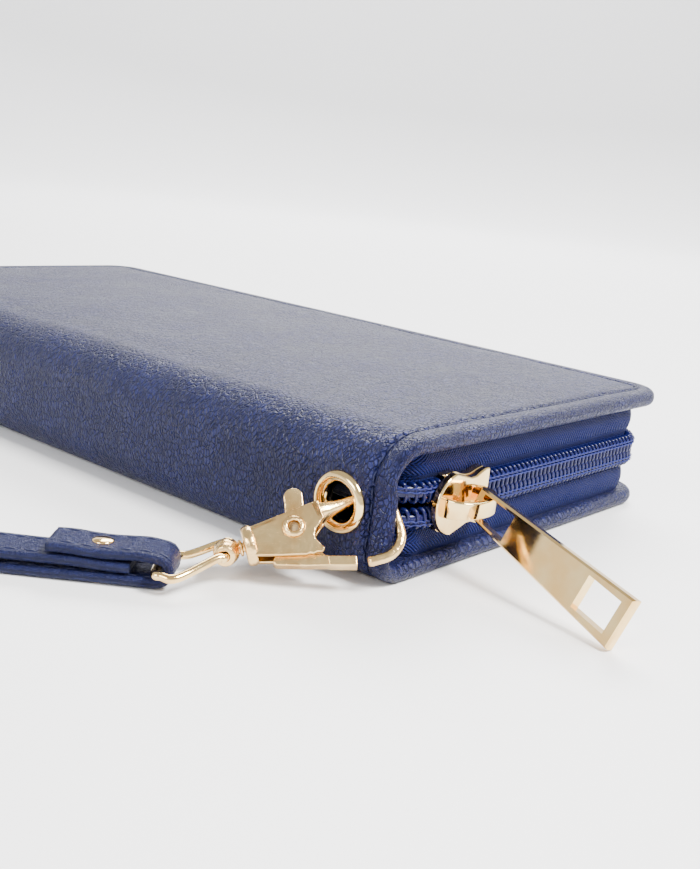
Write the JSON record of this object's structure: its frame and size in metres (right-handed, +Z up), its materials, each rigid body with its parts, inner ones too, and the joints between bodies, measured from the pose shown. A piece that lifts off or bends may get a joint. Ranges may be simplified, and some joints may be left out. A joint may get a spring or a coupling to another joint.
{
  "type": "wristlet wallet",
  "caption": "Zip-around clutch wallet in pebbled leather with card slots, coin pocket, gold zip pull, eyelet and a lobster-clasp wrist strap.",
  "frame": {"origin": "centre of the case on its resting face, under the middle of the covers", "axes": "+X along the case towards the eyelet and clasp end, +Y towards the long zipped side away from the spine, +Z up out of the top cover"},
  "size_m": [0.2218, 0.2178, 0.0252],
  "materials": {
    "outer_leather": "pebbled grain, semi-matt, navy",
    "lining": "fine woven, matt",
    "card_leather": "smooth, semi-matt",
    "stiffener": "plain",
    "zip_tape": "herringbone woven",
    "zip_coil": "satin nylon",
    "polished_gold": "polished light gold plate",
    "cast_gold": "cast, slightly rough light gold plate",
    "spring_steel": "drawn wire"
  },
  "bodies": {
    "base": {"cover_bottom_leather": "outer_leather", "bottom_board": "stiffener", "bottom_lining": "lining", "spine_board": "stiffener", "spine_lining": "lining", "eyelet": "polished_gold", "zip_tape_lower": "zip_tape", "zip_coil_lower": "zip_coil", "card_panel_lower": "lining", "card_pocket_lower_1": "card_leather", "card_pocket_lower_2": "card_leather", "card_pocket_lower_3": "card_leather", "card_pocket_lower_4": "card_leather"},
    "lid": {"cover_top_leather": "outer_leather", "top_board": "stiffener", "top_lining": "lining", "zip_tape_upper": "zip_tape", "zip_coil_upper": "zip_coil", "card_panel_upper": "lining", "card_pocket_upper_1": "card_leather", "card_pocket_upper_2": "card_leather", "card_pocket_upper_3": "card_leather", "card_pocket_upper_4": "card_leather"},
    "coin_pocket": {"coin_panel_lower": "lining", "coin_panel_upper": "lining", "coin_pocket_binding": "lining", "coin_zip_tapes": "zip_tape", "coin_zip_coil": "zip_coil", "gusset_left": "card_leather", "gusset_right": "card_leather"},
    "coin_zip_slider": {"coin_slider": "polished_gold"},
    "coin_zip_pull": {"coin_pull": "polished_gold"},
    "zip_slider": {"slider_body": "polished_gold", "slider_bridge": "polished_gold"},
    "zip_pull_tab": {"zip_pull": "polished_gold"},
    "clasp": {"clasp_body": "cast_gold", "clasp_rivet": "cast_gold", "gate_spring": "spring_steel"},
    "gate": {"clasp_gate": "cast_gold"},
    "swivel": {"swivel_head": "cast_gold"},
    "loop": {"swivel_loop": "cast_gold"},
    "strap": {"wrist_strap": "outer_leather", "strap_rivet": "polished_gold"}
  },
  "joints": [
    {"name": "cover_hinge", "type": "hinge", "parent": "base", "child": "lid", "pos_m": [0, -0.04486, 0.02256], "axis": [1, 0, 0], "range_deg": [0, 80], "deforming": ["zip_coil_upper", "zip_tape_upper", "gusset_left", "gusset_right"]},
    {"name": "coin_pocket_hinge", "type": "hinge", "parent": "base", "child": "coin_pocket", "pos_m": [0, -0.0438, 0.0126], "axis": [1, 0, 0], "range_deg": [0, 40]},
    {"name": "coin_zip_slide", "type": "slide", "parent": "coin_pocket", "child": "coin_zip_slider", "axis": [1, 0, 0], "range_m": [0, 0.13]},
    {"name": "coin_pull_swing", "type": "hinge", "parent": "coin_zip_slider", "child": "coin_zip_pull", "pos_m": [-0.0725, 0.03195, 0.0126], "axis": [0, 0, 1], "range_deg": [0, 75]},
    {"name": "zip_slide", "type": "slide", "parent": "base", "child": "zip_slider", "axis": [0, 1, 0], "range_m": [-0.004, 0.055]},
    {"name": "pull_swing", "type": "hinge", "parent": "zip_slider", "child": "zip_pull_tab", "pos_m": [0.0951, -0.026, 0.0126], "axis": [0.2864, 0.2081, 0.9352], "range_deg": [-50, 45]},
    {"name": "clasp_swing", "type": "hinge", "parent": "base", "child": "clasp", "pos_m": [0.0886, -0.0464, 0.01], "axis": [0, 0, 1], "range_deg": [-4, 4]},
    {"name": "gate_open", "type": "hinge", "parent": "clasp", "child": "gate", "pos_m": [0.07955, -0.05505, 0.0084], "axis": [0.4571, -0.6138, 0.6436], "range_deg": [0, 14], "stiffness_Nm_per_rad": 0.01},
    {"name": "clasp_swivel", "type": "hinge", "parent": "clasp", "child": "swivel", "pos_m": [0.07574, -0.06042, 0.00599], "axis": [0.5829, 0.7533, 0.3045], "range_deg": [0, 60]},
    {"name": "loop_tilt", "type": "hinge", "parent": "swivel", "child": "loop", "pos_m": [0.07329, -0.06358, 0.00471], "axis": [-0.6293, 0.7771, 0], "range_deg": [0, 30]},
    {"name": "strap_pivot", "type": "hinge", "parent": "loop", "child": "strap", "pos_m": [0.0683, -0.0728, 0.0031], "axis": [-0.6293, 0.7771, 0], "range_deg": [0, 60]}
  ],
  "couplings": [
    {"joint": "coin_pocket_hinge", "follows": "cover_hinge", "ratio": 0.5}
  ]
}
